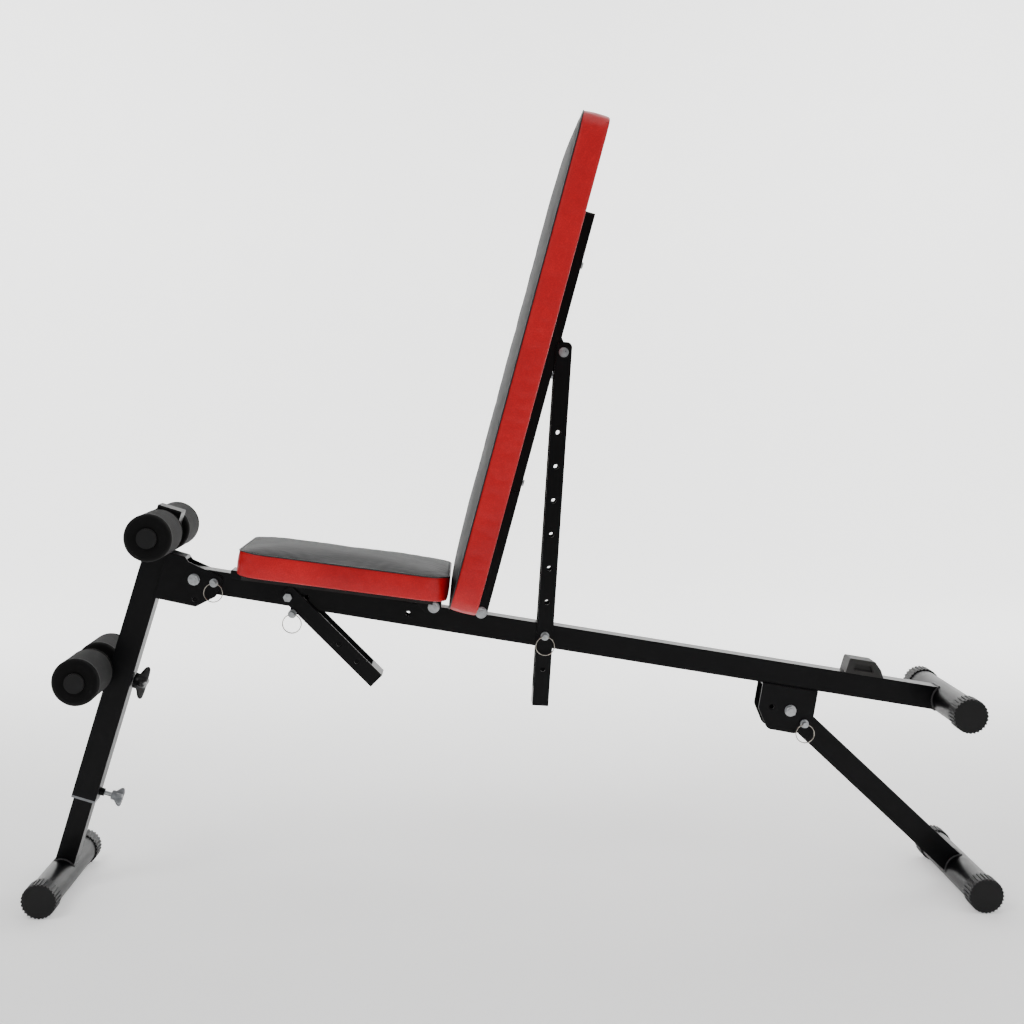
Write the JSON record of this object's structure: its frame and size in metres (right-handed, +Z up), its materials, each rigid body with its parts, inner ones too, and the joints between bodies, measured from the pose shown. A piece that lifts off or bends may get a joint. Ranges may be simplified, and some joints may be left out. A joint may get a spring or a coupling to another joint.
{
  "type": "adjustable weight bench",
  "caption": "Folding weight bench with a reclining padded backrest, tilting seat, foam leg rollers and pull-pin adjustment on a steel tube frame.",
  "frame": {"origin": "on the floor, under the middle of the bench's bounding box", "axes": "+X to the rear, where the stop tube is; +Y to the side away from the pull pins; +Z up"},
  "size_m": [1.553, 0.324, 1.2607],
  "materials": {
    "black_paint": "satin black powder coat",
    "zinc": "bright zinc plate",
    "ring_wire": "nickel-plated spring wire",
    "black_plastic": "moulded, fine grain",
    "grey_plastic": "moulded, silver grey",
    "rubber_block": "moulded, matte",
    "foam": "closed-cell foam, matte",
    "upholstery": "grained synthetic leather, red sides and black face",
    "board": "plywood, black backing cloth"
  },
  "bodies": {
    "frame": {"main_beam": "black_paint", "beam_front_plug": "black_plastic", "seat_pivot_sleeve": "black_paint", "backrest_pivot_sleeve": "black_paint", "seat_pin_sleeve": "black_paint", "backrest_rest_bumper": "rubber_block", "rear_leg_bracket": "black_paint", "rear_stop_tube": "black_paint", "rear_stop_caps": "black_plastic", "rear_leg_bolt": "zinc", "seat_pivot_bolt": "zinc", "backrest_pivot_bolt": "zinc", "seat_rest_pad": "rubber_block"},
    "front_leg": {"front_post": "black_paint", "post_top_plug": "black_plastic", "post_bush": "grey_plastic", "front_bracket": "black_paint", "upper_roller_bar": "black_paint", "upper_bar_plugs": "black_plastic", "lower_roller_bar": "black_paint", "lower_bar_plugs": "black_plastic", "lower_bar_saddle": "black_paint", "height_knob_boss": "black_paint", "front_fold_bolt": "zinc"},
    "front_foot": {"inner_post": "black_paint", "front_foot_tube": "black_paint", "front_foot_caps": "black_plastic"},
    "rear_leg": {"rear_leg_tube": "black_paint", "rear_foot_tube": "black_paint", "rear_foot_caps": "black_plastic"},
    "seat": {"seat_cushion": "upholstery", "seat_board": "board", "seat_channel": "black_paint", "seat_strut_rivets": "zinc", "seat_screws": "zinc"},
    "seat_strut": {"seat_strut": "black_paint"},
    "backrest": {"backrest_cushion": "upholstery", "backrest_board": "board", "backrest_tube": "black_paint", "backrest_tube_plug": "black_plastic", "backrest_link_plates": "black_paint", "backrest_strut_lugs": "black_paint", "backrest_screws": "zinc", "backrest_strut_bolt": "zinc"},
    "backrest_strut": {"backrest_strut": "black_paint"},
    "upper_left_roller": {"upper_left_roller": "foam"},
    "upper_right_roller": {"upper_right_roller": "foam"},
    "lower_left_roller": {"lower_left_roller": "foam"},
    "lower_right_roller": {"lower_right_roller": "foam"},
    "lower_roller_knob": {"lower_roller_knob": "black_plastic"},
    "height_knob": {"height_knob": "grey_plastic"},
    "front_fold_pin": {"front_fold_pin": "zinc"},
    "front_fold_pin_ring": {"front_fold_pin_ring": "ring_wire"},
    "rear_leg_pin": {"rear_leg_pin": "zinc"},
    "rear_leg_pin_ring": {"rear_leg_pin_ring": "ring_wire"},
    "seat_pin": {"seat_pin": "zinc"},
    "seat_pin_ring": {"seat_pin_ring": "ring_wire"},
    "backrest_pin": {"backrest_pin": "zinc"},
    "backrest_pin_ring": {"backrest_pin_ring": "ring_wire"}
  },
  "joints": [
    {"name": "backrest_recline", "type": "hinge", "parent": "frame", "child": "backrest", "pos_m": [-0.05464, 0, 0.4644], "axis": [0, 1, 0], "range_deg": [0, 81]},
    {"name": "backrest_strut_swing", "type": "hinge", "parent": "backrest", "child": "backrest_strut", "pos_m": [0.07888, 0, 0.88932], "axis": [0, 1, 0], "range_deg": [0, 10]},
    {"name": "seat_tilt", "type": "hinge", "parent": "frame", "child": "seat", "pos_m": [-0.1322, 0, 0.47345], "axis": [0, 1, 0], "range_deg": [0, 15]},
    {"name": "seat_strut_swing", "type": "hinge", "parent": "seat", "child": "seat_strut", "pos_m": [-0.36997, 0, 0.49003], "axis": [0, 1, 0], "range_deg": [0, 12]},
    {"name": "rear_leg_fold", "type": "hinge", "parent": "frame", "child": "rear_leg", "pos_m": [0.45729, 0, 0.30003], "axis": [0, 1, 0], "range_deg": [0, 130]},
    {"name": "front_leg_fold", "type": "hinge", "parent": "frame", "child": "front_leg", "pos_m": [-0.52243, 0, 0.51922], "axis": [0, 1, 0], "range_deg": [-80, 0]},
    {"name": "front_foot_height", "type": "slide", "parent": "front_leg", "child": "front_foot", "axis": [-0.2957, 0, -0.9553], "range_m": [0, 0.06]},
    {"name": "upper_left_roller_spin", "type": "hinge", "parent": "front_leg", "child": "upper_left_roller", "pos_m": [-0.57539, 0, 0.59737], "axis": [0, 1, 0], "continuous": true},
    {"name": "upper_right_roller_spin", "type": "hinge", "parent": "front_leg", "child": "upper_right_roller", "pos_m": [-0.57539, 0, 0.59737], "axis": [0, 1, 0], "continuous": true},
    {"name": "lower_left_roller_spin", "type": "hinge", "parent": "front_leg", "child": "lower_left_roller", "pos_m": [-0.69138, 0, 0.37011], "axis": [0, 1, 0], "continuous": true},
    {"name": "lower_right_roller_spin", "type": "hinge", "parent": "front_leg", "child": "lower_right_roller", "pos_m": [-0.69138, 0, 0.37011], "axis": [0, 1, 0], "continuous": true},
    {"name": "lower_roller_knob_turn", "type": "hinge", "parent": "front_leg", "child": "lower_roller_knob", "pos_m": [-0.62776, 0, 0.35041], "axis": [0.9553, 0, -0.2957], "continuous": true},
    {"name": "height_knob_turn", "type": "hinge", "parent": "front_leg", "child": "height_knob", "pos_m": [-0.68548, 0, 0.16395], "axis": [0.9553, 0, -0.2957], "continuous": true},
    {"name": "front_fold_pin_pull", "type": "slide", "parent": "front_leg", "child": "front_fold_pin", "axis": [0, -1, 0], "range_m": [0, 0.03]},
    {"name": "front_fold_pin_ring_swing", "type": "hinge", "parent": "front_fold_pin", "child": "front_fold_pin_ring", "pos_m": [-0.48996, -0.0328, 0.5139], "axis": [1, 0, 0], "range_deg": [-90, 0]},
    {"name": "rear_leg_pin_pull", "type": "slide", "parent": "frame", "child": "rear_leg_pin", "axis": [0, -1, 0], "range_m": [0, 0.03]},
    {"name": "rear_leg_pin_ring_swing", "type": "hinge", "parent": "rear_leg_pin", "child": "rear_leg_pin_ring", "pos_m": [0.48039, -0.0328, 0.27846], "axis": [1, 0, 0], "range_deg": [-90, 0]},
    {"name": "seat_pin_pull", "type": "slide", "parent": "frame", "child": "seat_pin", "axis": [0, -1, 0], "range_m": [0, 0.03]},
    {"name": "seat_pin_ring_swing", "type": "hinge", "parent": "seat_pin", "child": "seat_pin_ring", "pos_m": [-0.36254, -0.0365, 0.46345], "axis": [1, 0, 0], "range_deg": [-90, 0]},
    {"name": "backrest_pin_pull", "type": "slide", "parent": "backrest_strut", "child": "backrest_pin", "axis": [0, -1, 0], "range_m": [0, 0.03]},
    {"name": "backrest_pin_ring_swing", "type": "hinge", "parent": "backrest_pin", "child": "backrest_pin_ring", "pos_m": [0.05011, -0.0332, 0.42551], "axis": [1, 0, 0], "range_deg": [-90, 0]}
  ],
  "couplings": [
    {"joint": "backrest_strut_swing", "follows": "backrest_recline", "ratio": 0.1},
    {"joint": "seat_strut_swing", "follows": "seat_tilt", "ratio": 0.6}
  ]
}
